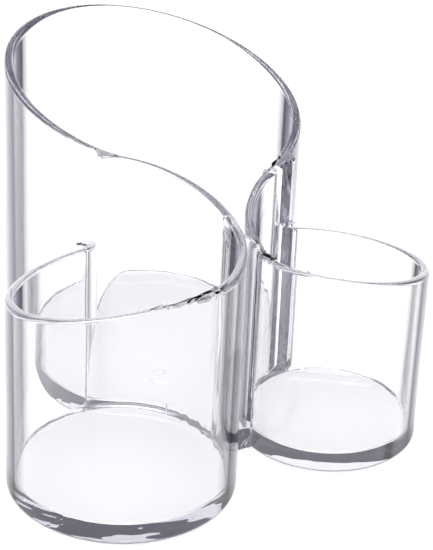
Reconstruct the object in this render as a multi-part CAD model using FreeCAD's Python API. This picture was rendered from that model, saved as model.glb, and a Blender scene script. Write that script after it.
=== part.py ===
import FreeCAD, Part

import math
import os

from FreeCAD import Placement, Rotation, Vector

# Clear pen holder: a tall round cup with a slanted rim and two lower round cups grown into its front.
# Millimetres, +Z up. The origin is on the table, at the middle of the footprint's bounding box.
# The front cup is towards -Y and the side cup towards +X. Bearings are in degrees from +X towards +Y.

# Round walls
TALL_RADIUS = 44.0
FRONT_RADIUS = 32.7
SIDE_RADIUS = 26.8
WALL = 2.8
FLOOR = 5.4

# How the cups are set against each other
FRONT_BEARING = -93.6
FRONT_OVERLAP = WALL + 1.2
SIDE_OVERLAP = WALL + 0.5
CUP_GAP = 7.8
WEB_THICKNESS = 4.4
BLEND_RADIUS = 24.0

# Rims: each is a slanted plane, with its slope and the bearing in which it rises
TALL_HEIGHT = 101.0
TALL_SLOPE = 13.9
TALL_RISES = 146.4
FRONT_HEIGHT = 56.6
FRONT_SLOPE = 16.0
FRONT_RISES = -37.2
SIDE_HEIGHT = 50.5
SIDE_SLOPE = 14.2
SIDE_RISES = -116.4
DIP_SLOPE = 21.8
DIP_RISES = 90.0
DIP_ABOVE_SIDE_RIM = 11.5
FRONT_CREST_RADIUS = 18.0
DIP_CREST_RADIUS = 60.0
DIP_VALLEY_RADIUS = 18.0

# How far round its axis each stretch of rim runs from its corner or bearing, in degrees
FRONT_LOW_TURN = 215.0
SIDE_HIGH_TURN = 150.0
FALLING_TURN = 60.0

# The short wall between the small cups
WEB_TOP_DROP = 5.0
WEB_TOP_SLOPE = 35.0

# Gate mark left on the tall cup's floor by the mould
GATE_OFFSET = (5.8, -24.0)
GATE_RING_RADIUS = 3.8
GATE_RING_WIDTH = 0.7
GATE_DIMPLE_RADIUS = 2.1
GATE_RELIEF = 0.3

# Blocks that only serve to trim a shape reach this far past the object
REACH = 400.0
UP = Vector(0, 0, 1)


def bearing_vector(bearing, length=1.0):
    """A level vector of the given length along a bearing."""
    angle = math.radians(bearing)
    return Vector(length * math.cos(angle), length * math.sin(angle), 0)


def place_cups():
    """Axis points of the tall, front and side cups, with the footprint centred on the origin."""
    front_distance = TALL_RADIUS + FRONT_RADIUS - FRONT_OVERLAP
    side_distance = TALL_RADIUS + SIDE_RADIUS - SIDE_OVERLAP
    cup_distance = FRONT_RADIUS + SIDE_RADIUS + CUP_GAP
    cosine = (front_distance ** 2 + side_distance ** 2 - cup_distance ** 2) / (2 * front_distance * side_distance)
    side_bearing = FRONT_BEARING + math.degrees(math.acos(cosine))
    axes = [Vector(0, 0, 0), bearing_vector(FRONT_BEARING, front_distance), bearing_vector(side_bearing, side_distance)]
    radii = [TALL_RADIUS, FRONT_RADIUS, SIDE_RADIUS]
    middle_x = (min(a.x - r for a, r in zip(axes, radii)) + max(a.x + r for a, r in zip(axes, radii))) / 2
    middle_y = (min(a.y - r for a, r in zip(axes, radii)) + max(a.y + r for a, r in zip(axes, radii))) / 2
    return [axis - Vector(middle_x, middle_y, 0) for axis in axes]


TALL_AXIS, FRONT_AXIS, SIDE_AXIS = place_cups()


def disc(axis, radius, height):
    """A solid round block standing on the table."""
    return Part.makeCylinder(radius, height, axis)


def prism(corners, height=TALL_HEIGHT):
    """A vertical block standing on the table over the given plan corners."""
    return Part.Face(Part.makePolygon(corners + corners[:1])).extrude(UP * height)


def ring(axis, radius):
    """A round wall, as high as the tall cup."""
    return disc(axis, radius, TALL_HEIGHT).cut(disc(axis, radius - WALL, TALL_HEIGHT))


class RimPlane:
    """A slanted plane through a point, rising by its slope along its bearing."""

    def __init__(self, point, slope, rises):
        self.point = point
        self.uphill = bearing_vector(rises, math.tan(math.radians(slope)))

    def height_at(self, spot):
        """Height of the plane over a spot."""
        return self.point.z + (spot - self.point).dot(self.uphill)

    def below(self):
        """A large block whose top face is the plane."""
        block = Part.makeBox(2 * REACH, 2 * REACH, REACH, Vector(-REACH, -REACH, -REACH))
        normal = UP - self.uphill
        block.Placement = Placement(self.point, Rotation(UP, normal))
        return block


def lowest_point_plane(axis, radius, lowest, slope, rises):
    """The rim plane of a cup whose lowest rim point has the given height."""
    return RimPlane(axis + bearing_vector(rises, -radius) + UP * lowest, slope, rises)


def rim_planes():
    """The slanted planes that the rims follow."""
    top_spot = TALL_AXIS + bearing_vector(TALL_RISES, TALL_RADIUS) + UP * TALL_HEIGHT
    tall = RimPlane(top_spot, TALL_SLOPE, TALL_RISES)
    front = lowest_point_plane(FRONT_AXIS, FRONT_RADIUS, FRONT_HEIGHT, FRONT_SLOPE, FRONT_RISES)
    side = lowest_point_plane(SIDE_AXIS, SIDE_RADIUS, SIDE_HEIGHT, SIDE_SLOPE, SIDE_RISES)
    dip_point = SIDE_AXIS + UP * (side.height_at(SIDE_AXIS) + DIP_ABOVE_SIDE_RIM)
    return tall, front, side, RimPlane(dip_point, DIP_SLOPE, DIP_RISES)


TALL_RIM, FRONT_RIM, SIDE_RIM, DIP_RIM = rim_planes()


def rounded_crease(block, plane_a, plane_b, radius):
    """The block with the crease between two of its planes rounded."""
    def on_both(edge):
        return all(abs(plane.height_at(v.Point) - v.Z) < 1e-4 for plane in (plane_a, plane_b) for v in edge.Vertexes)
    return block.makeFillet(radius, [edge for edge in block.Edges if on_both(edge)])


def circle_meeting(axis_a, radius_a, axis_b, radius_b, side):
    """Where two circles cross, to the left (side 1) or right (side -1) of the line from a to b."""
    apart = axis_b - axis_a
    along = (apart.Length ** 2 + radius_a ** 2 - radius_b ** 2) / (2 * apart.Length)
    across = math.sqrt(radius_a ** 2 - along ** 2)
    forward = apart.normalize()
    return axis_a + forward * along + Vector(-forward.y, forward.x, 0) * side * across


FRONT_CORNER = circle_meeting(TALL_AXIS, TALL_RADIUS, FRONT_AXIS, FRONT_RADIUS, -1)
SIDE_CORNER = circle_meeting(TALL_AXIS, TALL_RADIUS, SIDE_AXIS, SIDE_RADIUS, 1)


def corner_blend(axis, radius, side):
    """The filled corner inside the tall cup, where its wall flows into a small cup's wall."""
    inner_radius = TALL_RADIUS - WALL
    centre = circle_meeting(TALL_AXIS, inner_radius - BLEND_RADIUS, axis, radius + BLEND_RADIUS, side)
    tall_touch = TALL_AXIS + (centre - TALL_AXIS).normalize() * inner_radius
    cup_touch = axis + (centre - axis).normalize() * radius
    corner = circle_meeting(TALL_AXIS, TALL_RADIUS, axis, radius, side)
    block = prism([tall_touch, corner, cup_touch])
    block = block.cut(disc(centre, BLEND_RADIUS, TALL_HEIGHT))
    block = block.cut(disc(axis, radius, TALL_HEIGHT))
    return block.common(disc(TALL_AXIS, inner_radius, TALL_HEIGHT))


def trim_to_tall_rim(shape):
    """The shape below the tall cup's slanted rim."""
    return shape.common(TALL_RIM.below())


def sector(axis, from_spot, turn, radius):
    """A tall wedge about a cup's axis that starts at a spot and turns by the given angle, in degrees."""
    start = (from_spot - axis).normalize() * 4 * radius
    spokes = [Rotation(UP, turn * share).multVec(start) for share in (0, 0.25, 0.5, 0.75, 1)]
    return prism([axis] + [axis + spoke for spoke in spokes], 2 * TALL_HEIGHT)


def falling_rim():
    """A large block under the tall rim and the dip that leads it down to the side cup, with a soft crest."""
    return rounded_crease(TALL_RIM.below().common(DIP_RIM.below()), TALL_RIM, DIP_RIM, DIP_CREST_RADIUS)


def small_cups():
    """The room that the two small cups take, as solid blocks."""
    return disc(FRONT_AXIS, FRONT_RADIUS, TALL_HEIGHT).fuse(disc(SIDE_AXIS, SIDE_RADIUS, TALL_HEIGHT))


def make_tall_cup_wall():
    """The tall cup's round wall, open at the front between the small cups, with its two corner blends."""
    opening = prism([TALL_AXIS, FRONT_AXIS, SIDE_AXIS])
    wall = ring(TALL_AXIS, TALL_RADIUS).cut(opening).cut(small_cups())
    for axis, radius, side in ((FRONT_AXIS, FRONT_RADIUS, -1), (SIDE_AXIS, SIDE_RADIUS, 1)):
        wall = wall.fuse(corner_blend(axis, radius, side))
    falling = sector(TALL_AXIS, SIDE_AXIS, FALLING_TURN, TALL_RADIUS)
    return trim_to_tall_rim(wall.removeSplitter()).cut(falling.cut(falling_rim()))


def make_front_cup_wall():
    """The front cup's wall: the tall rim runs round its back and right, its own lower rim round its left."""
    wall = trim_to_tall_rim(ring(FRONT_AXIS, FRONT_RADIUS))
    crest = rounded_crease(TALL_RIM.below().common(FRONT_RIM.below()), TALL_RIM, FRONT_RIM, FRONT_CREST_RADIUS)
    lowered = sector(FRONT_AXIS, FRONT_CORNER, FRONT_LOW_TURN, FRONT_RADIUS)
    return wall.cut(lowered.cut(crest))


def make_side_cup_wall():
    """The side cup's wall: high where it closes the tall cup, dipping to its own lower rim elsewhere."""
    wall = ring(SIDE_AXIS, SIDE_RADIUS)
    valley = rounded_crease(falling_rim().fuse(SIDE_RIM.below()), DIP_RIM, SIDE_RIM, DIP_VALLEY_RADIUS)
    high_side = sector(SIDE_AXIS, SIDE_CORNER, SIDE_HIGH_TURN, SIDE_RADIUS)
    high = wall.common(high_side).common(valley)
    low = wall.cut(high_side).common(SIDE_RIM.below())
    return high.fuse(low).removeSplitter()


def make_joining_web():
    """The short upright wall that joins the two small cups and closes the tall cup between them."""
    along = (SIDE_AXIS - FRONT_AXIS).normalize()
    across = Vector(-along.y, along.x, 0) * (WEB_THICKNESS / 2)
    web = prism([FRONT_AXIS - across, SIDE_AXIS - across, SIDE_AXIS + across, FRONT_AXIS + across])
    web = web.cut(small_cups())
    start = FRONT_AXIS + along * FRONT_RADIUS
    start.z = TALL_RIM.height_at(start) - WEB_TOP_DROP
    downhill = math.degrees(math.atan2(along.y, along.x)) + 180
    return web.common(RimPlane(start, WEB_TOP_SLOPE, downhill).below())


def make_tall_cup_floor(tall_wall, web):
    """The tall cup's floor, which also fills the corner between the small cups, with its gate mark."""
    spread = prism([TALL_AXIS, FRONT_AXIS, SIDE_AXIS], FLOOR)
    floor = disc(TALL_AXIS, TALL_RADIUS - WALL, FLOOR).fuse(spread)
    floor = floor.cut(small_cups()).cut(tall_wall).cut(web).removeSplitter()
    gate = TALL_AXIS + Vector(*GATE_OFFSET, FLOOR)
    ridge = Part.makeCylinder(GATE_RING_RADIUS, GATE_RELIEF, gate)
    ridge = ridge.cut(Part.makeCylinder(GATE_RING_RADIUS - GATE_RING_WIDTH, GATE_RELIEF, gate))
    dimple = Part.makeCylinder(GATE_DIMPLE_RADIUS, GATE_RELIEF, gate - UP * GATE_RELIEF)
    return floor.fuse(ridge).cut(dimple)


def make_cup_floor(axis, radius):
    """A small cup's round floor."""
    return disc(axis, radius - WALL, FLOOR)


def build():
    """Every sub-part by node name."""
    tall_wall = make_tall_cup_wall()
    web = make_joining_web()
    return {
        "tall_cup_wall": tall_wall,
        "front_cup_wall": make_front_cup_wall(),
        "side_cup_wall": make_side_cup_wall(),
        "joining_web": web,
        "tall_cup_floor": make_tall_cup_floor(tall_wall, web),
        "front_cup_floor": make_cup_floor(FRONT_AXIS, FRONT_RADIUS),
        "side_cup_floor": make_cup_floor(SIDE_AXIS, SIDE_RADIUS),
    }


os.makedirs("parts", exist_ok=True)
for node, shape in build().items():
    solids = shape.Solids
    print(node, "solids", len(solids), "volume", round(shape.Volume), "valid", shape.isValid(), shape.BoundBox)
    solids[0].exportStep("parts/" + node + ".step")
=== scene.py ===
"""Clear moulded pen holder with three cups, on a white light table.

The holder is one injection-moulded piece, so its walls, web and floors are one closed clear mesh.
Lengths are in metres and +Z is up. Bearings run from +X towards +Y.
"""

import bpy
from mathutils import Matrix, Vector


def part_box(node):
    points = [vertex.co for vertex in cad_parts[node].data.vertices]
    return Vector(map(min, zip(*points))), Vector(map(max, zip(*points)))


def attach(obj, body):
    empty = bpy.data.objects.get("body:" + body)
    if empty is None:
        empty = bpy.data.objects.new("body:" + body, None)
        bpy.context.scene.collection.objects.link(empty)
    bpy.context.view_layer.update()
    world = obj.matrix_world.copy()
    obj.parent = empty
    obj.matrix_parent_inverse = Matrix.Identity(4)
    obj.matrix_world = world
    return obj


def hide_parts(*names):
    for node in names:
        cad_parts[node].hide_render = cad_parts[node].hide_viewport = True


bl_info = {
    "name": "Clear Pen Holder",
    "version": (1, 0, 0),
    "blender": (4, 5, 0),
    "location": "3D View > Sidebar > Pen Holder",
    "description": "Makes a clear moulded pen holder with three cups, and the light table that it stands on",
    "category": "Object",
}

import math

import bmesh
import bpy
from bpy.props import FloatProperty, FloatVectorProperty, PointerProperty
from bpy.types import Operator, Panel, PropertyGroup
from mathutils import Matrix, Vector

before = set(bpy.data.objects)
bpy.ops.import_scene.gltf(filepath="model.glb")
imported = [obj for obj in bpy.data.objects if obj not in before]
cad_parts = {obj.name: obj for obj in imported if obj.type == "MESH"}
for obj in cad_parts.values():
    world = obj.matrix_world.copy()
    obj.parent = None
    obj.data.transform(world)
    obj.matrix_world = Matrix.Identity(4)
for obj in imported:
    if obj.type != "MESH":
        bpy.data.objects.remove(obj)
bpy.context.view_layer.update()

MM = 0.001
UP = Vector((0, 0, 1))

# How finely round shapes are drawn
CIRCLE_STEPS = 240
SHORTEST_STEP = 0.5 * MM
WEDGE_STEPS = 4
CREASE_STEPS = 10
EDGE_STEPS = 4

# How near counts as touching: points on a plane, points on a crease, the ends of two arcs, and the ends of
# the short edges that the cutters leave
ON_PLANE = 0.0001 * MM
ON_CREASE = 0.001 * MM
SAME_POINT = 0.01 * MM
WELD = 0.08 * MM

# Neighbouring cutters overlap by the gap, and by the turn round a cup, so that no thin fin is left
CUTTER_GAP = 0.02 * MM
CUTTER_TURN = math.radians(0.7)
# A small cup's own cutter reaches out over the groove by this much, to take its fillet down as well
GROOVE_REACH = 4.5 * MM
# Blocks that are trimmed later reach this far past the holder
REACH = 400 * MM

# An edge is rounded if its faces turn by more than the angle and it rises by less than the share of
# its length
SHARP_ANGLE = math.radians(35)
UPRIGHT_SHARE = 0.9
# A face with more corners than this is split across at so many bearings round each cup. The offset keeps
# the splits off the corners
LONG_FACE = 12
RIM_SPLITS = 12
SPLIT_OFFSET = 0.4

# Painted shade: the colour painted on the plastic as a wall turns away from the eye, a dark streak that
# stands
# # in for the dark of the room seen in the wall, from full face (0) to edge-on (1)
EDGE_ON_PAINTED_SHADE = ((0.54, "#FEFEFF"), (0.69, "#100E18"), (0.80, "#45434F"), (0.92, "#8A8894"))
# What the studio's colour is by the height of the direction, from level (0) to straight up (1)
STUDIO_COLOURS = ((0.06, "#FFFFFF"), (0.22, "#74747C"))
LIGHT_BOUNCES = 64

# The stage, in metres: the table's side and its gap under the holder, the flag cards and the softbox
TABLE_SIDE = 8.0
TABLE_GAP = 0.3 * MM
FLAG_SIDE = 0.5
FLAG_HEIGHT = 0.3
LEFT_FLAG_DISTANCE = 0.5
RIGHT_FLAG_DISTANCE = 1.6
SOFTBOX_SIDE = 1.6
SOFTBOX_PLACE = (0, 0.2, 1.5)

# The camera, with its lens in millimetres
CAMERA_PLACE = (-6.39 * MM, -530.29 * MM, 337.18 * MM)
CAMERA_PITCH = math.radians(28.02)
CAMERA_ROLL = math.radians(-2.212)
CAMERA_LENS = 135.7
CAMERA_SENSOR = 36.0
CAMERA_SHIFT = (0.0493, -0.0642)
CAMERA_CLIP = (0.01, 20.0)


def cup_of_floor(node):
    """Axis point and inner radius of a cup, from the box of its round floor."""
    low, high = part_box(node)
    radius = (high.x - low.x) / 2
    return Vector((low.x + radius, high.y - radius, 0)), radius


TALL_AXIS, TALL_INSIDE = cup_of_floor("tall_cup_floor")
FRONT_AXIS, FRONT_INSIDE = cup_of_floor("front_cup_floor")
SIDE_AXIS, SIDE_INSIDE = cup_of_floor("side_cup_floor")
TALL_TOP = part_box("tall_cup_wall")[1].z
FLOOR_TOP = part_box("front_cup_floor")[1].z
WALL = FRONT_AXIS.x - FRONT_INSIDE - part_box("front_cup_wall")[0].x
TALL_OUTSIDE = TALL_INSIDE + WALL
FRONT_OUTSIDE = FRONT_INSIDE + WALL
SIDE_OUTSIDE = SIDE_INSIDE + WALL
# Cutters end at these heights, clear of the walls' tops
ABOVE = 2 * TALL_TOP
WELL_ABOVE = 3 * TALL_TOP


# ---------------------------------------------------------------- sizes and colours that a user may change

def length(name, description, millimetres):
    """A length property, with its default in millimetres."""
    return FloatProperty(name=name, description=description, default=millimetres * MM, min=0.0,
                         unit="LENGTH")


def angle(name, description, degrees):
    """An angle property, with its default in degrees."""
    return FloatProperty(name=name, description=description, default=math.radians(degrees), unit="ROTATION")


def linear(hex_colour):
    """An sRGB hex colour as linear red, green, blue and alpha."""
    channels = [int(hex_colour[i:i + 2], 16) / 255 for i in (1, 3, 5)]
    return [c / 12.92 if c <= 0.04045 else ((c + 0.055) / 1.055) ** 2.4 for c in channels] + [1.0]


class HolderSizes(PropertyGroup):
    """Sizes of the moulding that the CAD boxes don't give."""
    tall_slope: angle("Tall rim slope", "Slope of the tall cup's rim", 13.9)
    tall_rises: angle("Tall rim rises", "Bearing in which the tall cup's rim rises", 146.4)
    front_low: length("Front rim height", "Lowest point of the front cup's own rim", 56.6)
    front_slope: angle("Front rim slope", "Slope of the front cup's own rim", 16.0)
    front_rises: angle("Front rim rises", "Bearing in which the front cup's own rim rises", -37.2)
    side_low: length("Side rim height", "Lowest point of the side cup's rim", 50.5)
    side_slope: angle("Side rim slope", "Slope of the side cup's rim", 14.2)
    side_rises: angle("Side rim rises", "Bearing in which the side cup's rim rises", -116.4)
    dip_slope: angle("Dip slope", "Slope of the rim where it falls from the tall cup to the side cup", 21.8)
    dip_rises: angle("Dip rises", "Bearing in which the dip rises", 90.0)
    dip_above: length("Dip above side rim", "Height of the dip over the side rim at its axis", 11.5)
    front_crest: length("Front crest radius", "Rounding where the tall rim turns down the front cup", 18.0)
    dip_crest: length("Dip crest radius", "Rounding where the tall rim turns down to the side cup", 60.0)
    dip_valley: length("Dip valley radius", "Rounding where the dip runs out on the side rim", 18.0)
    falling_turn: angle("Falling turn", "How far round the tall cup the rim may fall to the dip", 60.0)
    front_turn: angle("Front low turn", "How far round the front cup its own lower rim runs", 215.0)
    side_turn: angle("Side high turn", "How far round the side cup the dip runs", 150.0)
    groove_radius: length("Groove radius", "Radius in the groove between the tall cup and a small cup", 1.4)
    blend_radius: length("Blend radius", "Radius inside the tall cup where it flows into a small cup", 24.0)
    web_thickness: length("Web thickness", "Thickness of the short wall between the small cups", 4.4)
    web_drop: length("Web drop", "How far the web's top starts below the front cup's rim", 5.0)
    web_slope: angle("Web slope", "Slope of the web's top, down towards the side cup", 35.0)
    gate_across: length("Gate mark across", "How far right of the tall cup's middle the gate mark is", 5.8)
    gate_ahead: length("Gate mark ahead", "How far in front of the tall cup's middle the gate mark is", 24.0)
    gate_radius: length("Gate mark radius", "Outer radius of the gate mark's ring", 3.8)
    gate_width: length("Gate mark width", "Width of the gate mark's ring", 0.7)
    gate_dimple: length("Gate dimple radius", "Radius of the dimple inside the ring", 2.1)
    gate_relief: length("Gate mark relief", "Height of the ring, and depth of the dimple", 0.3)
    edge_round: length("Edge radius", "Rounding of the rims, feet and inner corners", 1.25)


class HolderPlastic(PropertyGroup):
    """Look of the clear plastic."""
    tint: FloatVectorProperty(name="Tint", description="Colour of the clear plastic", subtype="COLOR",
                              size=3, min=0.0, max=1.0, default=linear("#958EAA")[:3])
    depth: FloatProperty(name="Depth", description="How strongly a metre of the plastic takes in light",
                         default=4.5, min=0.0)
    ripple: FloatProperty(name="Ripple", description="Strength of the flow ripples in the walls",
                          default=0.12, min=0.0, max=1.0, subtype="FACTOR")


class HolderStage(PropertyGroup):
    """Light table and lights."""
    light: FloatProperty(name="Softbox power", description="Power of the softbox overhead", default=22.0,
                         min=0.0, unit="POWER")
    sky: FloatProperty(name="Studio brightness", description="Brightness of the studio round the table",
                       default=1.0, min=0.0)


# ---------------------------------------------------------------- rims and outlines

class RimPlane:
    """A slanted plane through a point, rising by its slope along its bearing."""

    def __init__(self, point, slope, rises):
        self.point = point
        self.uphill = bearing_vector(rises, math.tan(slope))
        self.normal = (UP - self.uphill).normalized()

    def height_at(self, spot):
        """Height of the plane over a spot."""
        return self.point.z + (spot - self.point).dot(self.uphill)


def bearing_vector(bearing, size=1.0):
    """A level vector of the given size along a bearing."""
    return Vector((size * math.cos(bearing), size * math.sin(bearing), 0))


def rim_planes(sizes):
    """The slanted planes that the rims follow: tall, front, side and dip."""
    tall_high = TALL_AXIS + bearing_vector(sizes.tall_rises, TALL_OUTSIDE) + UP * TALL_TOP
    tall = RimPlane(tall_high, sizes.tall_slope, sizes.tall_rises)
    front_low = FRONT_AXIS + bearing_vector(sizes.front_rises, -FRONT_OUTSIDE) + UP * sizes.front_low
    front = RimPlane(front_low, sizes.front_slope, sizes.front_rises)
    side_low = SIDE_AXIS + bearing_vector(sizes.side_rises, -SIDE_OUTSIDE) + UP * sizes.side_low
    side = RimPlane(side_low, sizes.side_slope, sizes.side_rises)
    dip_point = SIDE_AXIS + UP * (side.height_at(SIDE_AXIS) + sizes.dip_above)
    return tall, front, side, RimPlane(dip_point, sizes.dip_slope, sizes.dip_rises)


def circle_meeting(axis_a, radius_a, axis_b, radius_b, side):
    """Where two circles cross, to the left (side 1) or right (side -1) of the line from a to b."""
    apart = axis_b - axis_a
    along = (apart.length ** 2 + radius_a ** 2 - radius_b ** 2) / (2 * apart.length)
    across = math.sqrt(radius_a ** 2 - along ** 2)
    forward = apart.normalized()
    return axis_a + forward * along + Vector((-forward.y, forward.x, 0)) * side * across


def turn_between(centre, start, end, anticlockwise):
    """Angle from one spot to another about a centre, positive anticlockwise and negative clockwise."""
    from_start, to_end = start - centre, end - centre
    turn = math.atan2(to_end.y, to_end.x) - math.atan2(from_start.y, from_start.x)
    return turn % math.tau if anticlockwise else turn % math.tau - math.tau


def arc(bm, start, centre, turn):
    """Spins a vertex about a centre into a run of edges, and gives the last vertex."""
    run = abs(turn) * (start.co.xy - centre.xy).length
    steps = max(1, min(round(abs(turn) / math.tau * CIRCLE_STEPS), round(run / SHORTEST_STEP)))
    spun = bmesh.ops.spin(bm, geom=[start], cent=centre + UP * start.co.z, axis=UP, angle=turn,
                          steps=steps)
    return [part for part in spun["geom_last"] if isinstance(part, bmesh.types.BMVert)][0]


def close_outline(bm):
    """Joins the ends of an outline's runs and fills it with a face."""
    bmesh.ops.remove_doubles(bm, verts=bm.verts, dist=SAME_POINT)
    bmesh.ops.contextual_create(bm, geom=bm.edges)


def arc_outline(start, runs, bottom):
    """A closed flat outline of arcs. Each run is a centre, the spot that it ends at and its sense."""
    bm = bmesh.new()
    vertex = bm.verts.new(start + UP * bottom)
    spot = start
    for centre, end, anticlockwise in runs:
        vertex = arc(bm, vertex, centre, turn_between(centre, spot, end, anticlockwise))
        spot = end
    close_outline(bm)
    return bm


def raise_outline(bm, top):
    """Pulls a flat outline straight up to a height and makes it a closed solid."""
    bottom = min(vertex.co.z for vertex in bm.verts)
    pulled = bmesh.ops.extrude_face_region(bm, geom=bm.faces[:], use_keep_orig=True)
    verts = [part for part in pulled["geom"] if isinstance(part, bmesh.types.BMVert)]
    bmesh.ops.translate(bm, verts=verts, vec=UP * (top - bottom))
    bmesh.ops.recalc_face_normals(bm, faces=bm.faces)
    return bm


def polygon_block(corners, bottom, top):
    """An upright block over the given plan corners."""
    bm = bmesh.new()
    bmesh.ops.contextual_create(bm, geom=[bm.verts.new(corner + UP * bottom) for corner in corners])
    return raise_outline(bm, top)


def round_block(axis, radius, bottom, top):
    """An upright round block about an axis."""
    bm = bmesh.new()
    place = Matrix.Translation(axis + UP * bottom)
    bmesh.ops.create_circle(bm, cap_ends=True, segments=CIRCLE_STEPS, radius=radius, matrix=place)
    return raise_outline(bm, top)


def as_object(bm, name):
    """Puts a bmesh into a new object in the scene."""
    mesh = bpy.data.meshes.new(name)
    bm.to_mesh(mesh)
    bm.free()
    made = bpy.data.objects.new(name, mesh)
    bpy.context.scene.collection.objects.link(made)
    return made


def as_bmesh(made):
    """Takes an object's mesh back into a bmesh, and removes the object."""
    bm = bmesh.new()
    bm.from_mesh(made.data)
    bpy.data.objects.remove(made)
    return bm


def combine(body, tool, operation):
    """Unites, subtracts or intersects the body with a tool, and removes the tool."""
    modifier = body.modifiers.new(operation.title(), "BOOLEAN")
    modifier.operation = operation
    modifier.object = tool
    modifier.solver = "MANIFOLD"
    evaluated = body.evaluated_get(bpy.context.evaluated_depsgraph_get())
    mesh = bpy.data.meshes.new_from_object(evaluated)
    body.modifiers.clear()
    body.data = mesh
    bpy.data.objects.remove(tool)
    return body


def cut(body, tool_bm):
    """Takes a solid away from the body."""
    return combine(body, as_object(tool_bm, "cutter"), "DIFFERENCE")


def join(body, tool_bm):
    """Fuses a solid with the body."""
    return combine(body, as_object(tool_bm, "addition"), "UNION")


def slice_off(bm, point, normal):
    """Cuts away what lies past a plane, and closes the cut."""
    parts = bm.verts[:] + bm.edges[:] + bm.faces[:]
    sliced = bmesh.ops.bisect_plane(bm, geom=parts, dist=ON_PLANE, plane_co=point, plane_no=normal,
                                    clear_outer=True)
    edges = [part for part in sliced["geom_cut"] if isinstance(part, bmesh.types.BMEdge)]
    bmesh.ops.contextual_create(bm, geom=edges)
    bmesh.ops.recalc_face_normals(bm, faces=bm.faces)


def block_below(*planes):
    """A large block under all of the given planes."""
    bm = bmesh.new()
    bmesh.ops.create_cube(bm, size=2 * REACH)
    for plane in planes:
        slice_off(bm, plane.point, plane.normal)
    return bm


def round_crease(bm, plane_a, plane_b, radius):
    """Rounds the crease where two planes meet on a block."""
    def on_both(vertex):
        spot = vertex.co
        return all(abs(plane.height_at(spot) - spot.z) < ON_CREASE for plane in (plane_a, plane_b))

    crease = [edge for edge in bm.edges if all(on_both(vertex) for vertex in edge.verts)]
    offset = radius * math.tan(plane_a.normal.angle(plane_b.normal) / 2)
    bmesh.ops.bevel(bm, geom=crease, offset=offset, offset_type="OFFSET", segments=CREASE_STEPS,
                    profile=0.5, affect="EDGES", material=-1)
    return bm


def wedge(axis, start, turn, radius):
    """An upright wedge about an axis, from the bearing of a spot round by an angle."""
    spoke = (start - axis).normalized() * radius
    steps = range(WEDGE_STEPS + 1)
    spokes = [axis + Matrix.Rotation(turn * step / WEDGE_STEPS, 3, "Z") @ spoke for step in steps]
    return polygon_block([axis] + spokes, 0.0, ABOVE)


def cutter_over(region_bm, allowed_bm):
    """The part of a region that lies outside the allowed block, as a bmesh."""
    return as_bmesh(cut(as_object(region_bm, "region"), allowed_bm))


def common(region_bm, other_bm):
    """What two solids share, as a bmesh."""
    return as_bmesh(combine(as_object(region_bm, "region"), as_object(other_bm, "other"), "INTERSECT"))


# ---------------------------------------------------------------- the moulding

def toward(axis, spot, radius):
    """The point on a circle about an axis that lies towards a spot."""
    return axis + (spot - axis).normalized() * radius


def ring_and_discs(sizes):
    """The tall cup's open wall with a solid round block at each end of it, where the small cups will be."""
    bottom, top = -2 * MM, TALL_TOP + 10 * MM  # past the foot and the rims, which are cut later
    tall, front, side = TALL_OUTSIDE, FRONT_OUTSIDE, SIDE_OUTSIDE
    blend = sizes.blend_radius
    groove = sizes.groove_radius
    front_groove = circle_meeting(TALL_AXIS, tall + groove, FRONT_AXIS, front + groove, -1)
    side_groove = circle_meeting(TALL_AXIS, tall + groove, SIDE_AXIS, side + groove, 1)
    front_centre = circle_meeting(TALL_AXIS, TALL_INSIDE - blend, FRONT_AXIS, front + blend, -1)
    side_centre = circle_meeting(TALL_AXIS, TALL_INSIDE - blend, SIDE_AXIS, side + blend, 1)
    start = toward(TALL_AXIS, side_groove, tall)
    runs = [
        (TALL_AXIS, toward(TALL_AXIS, front_groove, tall), True),
        (front_groove, toward(FRONT_AXIS, front_groove, front), False),
        (FRONT_AXIS, toward(FRONT_AXIS, front_centre, front), True),
        (front_centre, toward(TALL_AXIS, front_centre, TALL_INSIDE), False),
        (TALL_AXIS, toward(TALL_AXIS, side_centre, TALL_INSIDE), False),
        (side_centre, toward(SIDE_AXIS, side_centre, side), False),
        (SIDE_AXIS, toward(SIDE_AXIS, side_groove, side), True),
        (side_groove, start, False),
    ]
    return raise_outline(arc_outline(start, runs, bottom), top)


def tall_floor_slab():
    """The tall cup's floor and the corner between the small cups, with its edge buried in the walls."""
    buried = WALL / 2
    tall, front, side = TALL_INSIDE + buried, FRONT_INSIDE + buried, SIDE_INSIDE + buried
    toward_side = (SIDE_AXIS - FRONT_AXIS).normalized()
    start_spot = circle_meeting(TALL_AXIS, tall, FRONT_AXIS, front, -1)
    front_spot = FRONT_AXIS + toward_side * front
    side_spot = SIDE_AXIS - toward_side * side
    corner_spot = circle_meeting(TALL_AXIS, tall, SIDE_AXIS, side, 1)
    below_foot = UP * 3 * MM
    bm = bmesh.new()
    start = bm.verts.new(start_spot - below_foot)
    at_front = arc(bm, start, FRONT_AXIS, turn_between(FRONT_AXIS, start_spot, front_spot, False))
    at_side = bm.verts.new(side_spot - below_foot)
    bm.edges.new((at_front, at_side))
    at_corner = arc(bm, at_side, SIDE_AXIS, turn_between(SIDE_AXIS, side_spot, corner_spot, False))
    arc(bm, at_corner, TALL_AXIS, turn_between(TALL_AXIS, corner_spot, start_spot, True))
    close_outline(bm)
    return raise_outline(bm, FLOOR_TOP)


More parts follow.
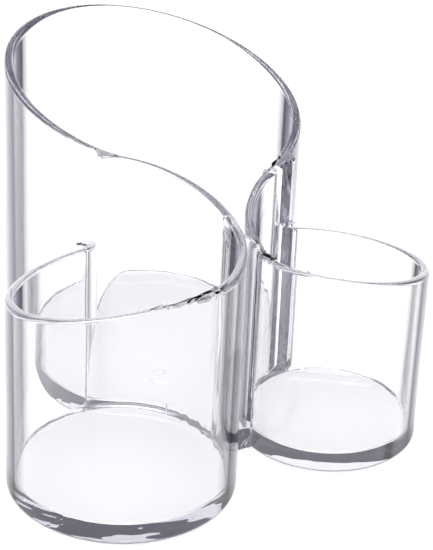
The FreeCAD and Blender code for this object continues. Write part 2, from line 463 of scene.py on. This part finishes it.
def web_block(sizes, tall_rim):
    """The short wall between the small cups, with its sloping top and its ends buried in their walls."""
    along = (SIDE_AXIS - FRONT_AXIS).normalized()
    across = Vector((-along.y, along.x, 0)) * sizes.web_thickness / 2
    start = FRONT_AXIS + along * (FRONT_INSIDE + WALL / 2)
    end = SIDE_AXIS - along * (SIDE_INSIDE + WALL / 2)
    below_foot = -4 * MM
    bm = polygon_block([start - across, end - across, end + across, start + across], below_foot, TALL_TOP)
    top = FRONT_AXIS + along * FRONT_OUTSIDE
    top.z = tall_rim.height_at(top) - sizes.web_drop
    downhill = math.atan2(along.y, along.x) + math.pi
    slice_off(bm, top, RimPlane(top, sizes.web_slope, downhill).normal)
    return bm


def tall_disc():
    """The tall cup's round room, which the cutters of the small cups' own rims leave alone."""
    return round_block(TALL_AXIS, TALL_OUTSIDE - CUTTER_GAP, -MM, WELL_ABOVE)


def trim_to_tall_rim(body, tall):
    """Cuts everything down to the tall cup's slanted rim."""
    above = bmesh.new()
    bmesh.ops.create_cube(above, size=2 * REACH)
    slice_off(above, tall.point, -tall.normal)
    cut(body, above)


def trim_front_rim(body, sizes, clear, front):
    """Cuts the front cup's own lower rim, with a rounded crest where it comes down from the tall rim."""
    allowed = round_crease(block_below(clear, front), clear, front, sizes.front_crest)
    corner = circle_meeting(TALL_AXIS, TALL_OUTSIDE, FRONT_AXIS, FRONT_OUTSIDE, -1)
    low = wedge(FRONT_AXIS, corner, sizes.front_turn, 2 * FRONT_OUTSIDE)
    region = common(round_block(FRONT_AXIS, FRONT_OUTSIDE + GROOVE_REACH, 0.0, ABOVE), low)
    cut(body, cutter_over(cutter_over(region, tall_disc()), allowed))


def trim_falling_rim(body, sizes, clear, dip):
    """Cuts the tall cup's rim where it falls to the side cup, and gives the block under the fall."""
    falling = round_crease(block_below(clear, dip), clear, dip, sizes.dip_crest)
    side_disc = round_block(SIDE_AXIS, SIDE_OUTSIDE - CUTTER_GAP, -MM, WELL_ABOVE)
    region = cutter_over(wedge(TALL_AXIS, SIDE_AXIS, sizes.falling_turn, 2 * TALL_INSIDE), side_disc)
    cut(body, cutter_over(region, falling.copy()))
    return falling


def trim_side_rim(body, sizes, falling, dip, side):
    """Cuts the side cup's rim: the dip's run-out on the near side, and its own low rim elsewhere."""
    valley = as_bmesh(join(as_object(falling, "valley"), block_below(side)))
    round_crease(valley, dip, side, sizes.dip_valley)
    corner = circle_meeting(TALL_AXIS, TALL_OUTSIDE, SIDE_AXIS, SIDE_OUTSIDE, 1)
    high = wedge(SIDE_AXIS, corner, sizes.side_turn, 2 * SIDE_OUTSIDE)
    side_disc = round_block(SIDE_AXIS, SIDE_OUTSIDE + CUTTER_GAP, 0.0, ABOVE)
    cut(body, cutter_over(common(side_disc, high), valley))
    kept = wedge(SIDE_AXIS, corner, sizes.side_turn - CUTTER_TURN, 2 * SIDE_OUTSIDE)
    low = cutter_over(round_block(SIDE_AXIS, SIDE_OUTSIDE + GROOVE_REACH, 0.0, ABOVE), kept)
    cut(body, cutter_over(cutter_over(low, tall_disc()), block_below(side)))


def trim_rims(body, sizes):
    """Cuts the tops of the walls down to their rims."""
    tall, front, side, dip = rim_planes(sizes)
    clear = RimPlane(tall.point + UP * CUTTER_GAP, sizes.tall_slope, sizes.tall_rises)
    trim_to_tall_rim(body, tall)
    trim_front_rim(body, sizes, clear, front)
    falling = trim_falling_rim(body, sizes, clear, dip)
    trim_side_rim(body, sizes, falling, dip, side)


def is_upright(edge):
    """Whether an edge runs more or less straight up the moulding."""
    start, end = (vertex.co for vertex in edge.verts)
    return abs(end.z - start.z) > UPRIGHT_SHARE * (end - start).length


def split_long_faces(bm):
    """Splits the long flat faces along the rims across, so that each part of them is a simple shape."""
    for axis in (TALL_AXIS, FRONT_AXIS, SIDE_AXIS):
        for step in range(RIM_SPLITS):
            faces = [face for face in bm.faces if len(face.verts) > LONG_FACE]
            parts = list(dict.fromkeys(part for face in faces for part in (face, *face.edges, *face.verts)))
            across = bearing_vector(math.pi * (step + SPLIT_OFFSET) / RIM_SPLITS)
            bmesh.ops.bisect_plane(bm, geom=parts, dist=ON_PLANE, plane_co=axis, plane_no=across)


def round_edges(body, radius):
    """Rounds the rims, the feet and the floors' corners, and leaves the upright creases."""
    bm = bmesh.new()
    bm.from_mesh(body.data)
    bmesh.ops.dissolve_degenerate(bm, edges=bm.edges, dist=WELD)
    slice_off(bm, Vector(), -UP)
    sharp = [edge for edge in bm.edges if edge.is_manifold and edge.calc_face_angle() > SHARP_ANGLE
             and not is_upright(edge)]
    bmesh.ops.bevel(bm, geom=sharp, offset=radius, offset_type="ABSOLUTE", segments=EDGE_STEPS, profile=0.5,
                    affect="EDGES", material=-1, clamp_overlap=False)
    split_long_faces(bm)
    bm.to_mesh(body.data)
    bm.free()


def add_gate_mark(body, sizes):
    """Adds the mark of the mould's gate to the tall cup's floor: a low ring round a shallow dimple."""
    spot = TALL_AXIS + Vector((sizes.gate_across, -sizes.gate_ahead, 0))
    low, high = FLOOR_TOP - sizes.gate_relief, FLOOR_TOP + sizes.gate_relief
    ring_inside = round_block(spot, sizes.gate_radius - sizes.gate_width, 0.0, TALL_TOP)
    join(body, cutter_over(round_block(spot, sizes.gate_radius, low, high), ring_inside))
    cut(body, round_block(spot, sizes.gate_dimple, low, TALL_TOP))


# ---------------------------------------------------------------- materials

def add_node(tree, kind, settings=(), **inputs):
    """Adds a node with its settings, and its inputs as values or links."""
    node = tree.nodes.new(kind)
    for name, value in dict(settings).items():
        setattr(node, name, value)
    for name, value in inputs.items():
        socket = node.inputs[name.replace("_", " ")]
        if isinstance(value, bpy.types.NodeSocket):
            tree.links.new(value, socket)
        else:
            socket.default_value = value
    return node


def add_ramp(tree, value, stops):
    """A colour ramp along a value, through the given positions and colours, and its colour output."""
    node = add_node(tree, "ShaderNodeValToRGB", Fac=value)
    elements = node.color_ramp.elements
    for position, hex_colour in stops:
        elements.new(position).color = linear(hex_colour)
    elements.remove(elements[-1])
    elements.remove(elements[0])
    return node.outputs["Color"]


def new_tree(name):
    """A new node material with nothing in it, and its tree."""
    material = bpy.data.materials.new(name)
    material.use_nodes = True
    material.node_tree.nodes.clear()
    return material, material.node_tree


def clear_moulded_acrylic(plastic):
    """Clear acrylic straight from a polished mould: glassy, with faint upright flow ripples in its walls.

    It takes in a little light on the long way down inside a wall, which greys the rims with a trace of
    lilac. Where a wall turns away from the eye, a soft dark streak is painted into its colour: painted shade
    and painted reflection that stand in for the dark of the room seen in the wall.
    """
    material, tree = new_tree("clear_moulded_acrylic")
    place = add_node(tree, "ShaderNodeTexCoord").outputs["Object"]
    stretched = add_node(tree, "ShaderNodeMapping", Vector=place, Scale=(1.0, 1.0, 0.25)).outputs["Vector"]
    # Flow ripples lie about 14 mm apart round the wall and run up it
    ripples = add_node(tree, "ShaderNodeTexNoise", Vector=stretched, Scale=70.0, Detail=2.0, Roughness=0.5)
    bump = add_node(tree, "ShaderNodeBump", Height=ripples.outputs["Fac"], Strength=plastic.ripple,
                    Distance=0.6 * MM)
    # How far a wall turns away from the eye, which sets the painted dark streak. Level faces are left out
    edge_on = add_node(tree, "ShaderNodeLayerWeight", Blend=0.5).outputs["Facing"]
    normal = add_node(tree, "ShaderNodeNewGeometry").outputs["Normal"]
    normal_up = add_node(tree, "ShaderNodeSeparateXYZ", Vector=normal).outputs["Z"]
    level = add_node(tree, "ShaderNodeMath", {"operation": "ABSOLUTE"}, Value=normal_up).outputs["Value"]
    painted_streak_on_walls = add_node(tree, "ShaderNodeMath", {"operation": "SUBTRACT"})
    tree.links.new(edge_on, painted_streak_on_walls.inputs[0])
    tree.links.new(level, painted_streak_on_walls.inputs[1])
    # Painted shade and painted dark reflection: the wall's colour and gloss tint go dark as it turns edge-on
    colour = add_ramp(tree, painted_streak_on_walls.outputs["Value"], EDGE_ON_PAINTED_SHADE)
    surface = add_node(tree, "ShaderNodeBsdfPrincipled", Base_Color=colour, Specular_Tint=colour,
                       Roughness=0.0, IOR=1.49, Transmission_Weight=1.0, Normal=bump.outputs["Normal"])
    tint = list(plastic.tint) + [1.0]
    inside = add_node(tree, "ShaderNodeVolumeAbsorption", Color=tint, Density=plastic.depth)
    add_node(tree, "ShaderNodeOutputMaterial", Surface=surface.outputs["BSDF"],
             Volume=inside.outputs["Volume"])
    return material


def opal_table_top():
    """Opal acrylic table top lit from below: even white with no gloss, so the holder throws no shadow."""
    material, tree = new_tree("opal_table_top")
    surface = add_node(tree, "ShaderNodeBsdfPrincipled", Base_Color=linear("#C8C8C8"), Roughness=0.9,
                       Specular_IOR_Level=0.0, Emission_Color=linear("#FFFFFF"), Emission_Strength=0.8)
    add_node(tree, "ShaderNodeOutputMaterial", Surface=surface.outputs["BSDF"])
    return material


def black_felt():
    """Black felt on the flag cards: takes in all light, so it draws the dark lines in the clear plastic."""
    material, tree = new_tree("black_felt")
    surface = add_node(tree, "ShaderNodeBsdfDiffuse", Color=linear("#050508"), Roughness=1.0)
    add_node(tree, "ShaderNodeOutputMaterial", Surface=surface.outputs["BSDF"])
    return material


# ---------------------------------------------------------------- operators

class HOLDER_OT_moulding(Operator):
    """Make the clear moulding: three cups, the web between the small ones, and their floors"""
    bl_idname = "holder.moulding"
    bl_label = "Make moulding"

    def execute(self, context):
        sizes = context.scene.holder_sizes
        body = as_object(ring_and_discs(sizes), "holder_moulding")
        for axis, radius in ((FRONT_AXIS, FRONT_INSIDE), (SIDE_AXIS, SIDE_INSIDE)):
            cut(body, round_block(axis, radius, FLOOR_TOP, 2 * TALL_TOP))
        join(body, tall_floor_slab())
        join(body, web_block(sizes, rim_planes(sizes)[0]))
        trim_rims(body, sizes)
        round_edges(body, sizes.edge_round)
        add_gate_mark(body, sizes)
        for polygon in body.data.polygons:
            polygon.use_smooth = True
        body.data.materials.clear()
        body.data.materials.append(clear_moulded_acrylic(context.scene.holder_plastic))
        body.modifiers.new("Even shading", "WEIGHTED_NORMAL").keep_sharp = True
        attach(body, "root")
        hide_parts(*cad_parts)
        return {"FINISHED"}


class HOLDER_OT_stage(Operator):
    """Make the light table, its lights and the camera"""
    bl_idname = "holder.stage"
    bl_label = "Make stage"

    def execute(self, context):
        stage = context.scene.holder_stage
        make_table()
        make_flags()
        make_softbox(stage)
        make_studio(context.scene, stage)
        make_camera(context.scene)
        return {"FINISHED"}


def flat_card(name, side, place, material):
    """A flat square card of the stage, turned and placed by a matrix."""
    bm = bmesh.new()
    bmesh.ops.create_grid(bm, x_segments=1, y_segments=1, size=side / 2)
    bmesh.ops.transform(bm, verts=bm.verts, matrix=place)
    card = as_object(bm, name)
    card.data.materials.append(material)
    return card


def make_table():
    """A wide white table top just under the holder."""
    flat_card("table_top", TABLE_SIDE, Matrix.Translation((0, 0, -TABLE_GAP)), opal_table_top())


def make_flags():
    """Black cards on both sides, out of the camera's sight, which the plastic's edges pick up."""
    felt = black_felt()
    upright = Matrix.Rotation(math.pi / 2, 4, "X")
    flags = (("left_flag", math.pi, LEFT_FLAG_DISTANCE), ("right_flag", 0.0, RIGHT_FLAG_DISTANCE))
    for name, bearing, distance in flags:
        place = Matrix.Translation(bearing_vector(bearing, distance) + UP * FLAG_HEIGHT)
        facing = Matrix.Rotation(bearing + math.pi / 2, 4, "Z")
        card = flat_card(name, FLAG_SIDE, place @ facing @ upright, felt)
        card.visible_camera = False
        card.visible_diffuse = False


def make_softbox(stage):
    """A large soft light overhead."""
    lamp = bpy.data.lights.new("softbox", "AREA")
    lamp.shape = "SQUARE"
    lamp.size = SOFTBOX_SIDE
    lamp.energy = stage.light
    softbox = bpy.data.objects.new("softbox", lamp)
    softbox.matrix_world = Matrix.Translation(SOFTBOX_PLACE)
    bpy.context.scene.collection.objects.link(softbox)


def make_studio(scene, stage):
    """The studio round the table: white walls at table height that darken to grey overhead."""
    world = bpy.data.worlds.new("studio")
    scene.world = world
    world.use_nodes = True
    tree = world.node_tree
    tree.nodes.clear()
    direction = add_node(tree, "ShaderNodeTexCoord").outputs["Generated"]
    height = add_node(tree, "ShaderNodeSeparateXYZ", Vector=direction).outputs["Z"]
    colour = add_ramp(tree, height, STUDIO_COLOURS)
    sky = add_node(tree, "ShaderNodeBackground", Color=colour, Strength=stage.sky)
    add_node(tree, "ShaderNodeOutputWorld", Surface=sky.outputs["Background"])
    scene.view_settings.view_transform = "Standard"
    # Light runs down inside the walls with dozens of inner reflections before it comes out
    scene.cycles.max_bounces = LIGHT_BOUNCES
    scene.cycles.glossy_bounces = LIGHT_BOUNCES
    scene.cycles.transmission_bounces = LIGHT_BOUNCES


def make_camera(scene):
    """The camera, at the viewing angle that the holder is shown from."""
    camera = bpy.data.cameras.new("camera")
    camera.lens = CAMERA_LENS
    camera.sensor_width = CAMERA_SENSOR
    camera.shift_x, camera.shift_y = CAMERA_SHIFT
    camera.clip_start, camera.clip_end = CAMERA_CLIP
    holder_view = bpy.data.objects.new("camera", camera)
    tilt = Matrix.Rotation(math.pi / 2 - CAMERA_PITCH, 4, "X") @ Matrix.Rotation(-CAMERA_ROLL, 4, "Z")
    holder_view.matrix_world = Matrix.Translation(CAMERA_PLACE) @ tilt
    scene.collection.objects.link(holder_view)
    scene.camera = holder_view


class HOLDER_PT_panel(Panel):
    """Sizes, colours and buttons of the pen holder"""
    bl_idname = "HOLDER_PT_panel"
    bl_label = "Clear Pen Holder"
    bl_space_type = "VIEW_3D"
    bl_region_type = "UI"
    bl_category = "Pen Holder"

    def draw(self, context):
        for group in (context.scene.holder_sizes, context.scene.holder_plastic, context.scene.holder_stage):
            for name in group.__annotations__:
                self.layout.prop(group, name)
        for operator in (HOLDER_OT_moulding, HOLDER_OT_stage):
            self.layout.operator(operator.bl_idname)


CLASSES = (HolderSizes, HolderPlastic, HolderStage, HOLDER_OT_moulding, HOLDER_OT_stage, HOLDER_PT_panel)


def register():
    """Registers the classes and hangs the settings on the scene."""
    for cls in CLASSES:
        bpy.utils.register_class(cls)
    bpy.types.Scene.holder_sizes = PointerProperty(type=HolderSizes)
    bpy.types.Scene.holder_plastic = PointerProperty(type=HolderPlastic)
    bpy.types.Scene.holder_stage = PointerProperty(type=HolderStage)


def unregister():
    """Takes the settings and the classes away again."""
    for name in ("holder_sizes", "holder_plastic", "holder_stage"):
        delattr(bpy.types.Scene, name)
    for cls in reversed(CLASSES):
        bpy.utils.unregister_class(cls)


def main():
    """Registers the add-on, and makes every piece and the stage."""
    register()
    bpy.ops.holder.moulding()
    bpy.ops.holder.stage()


if __name__ == "__main__":
    main()
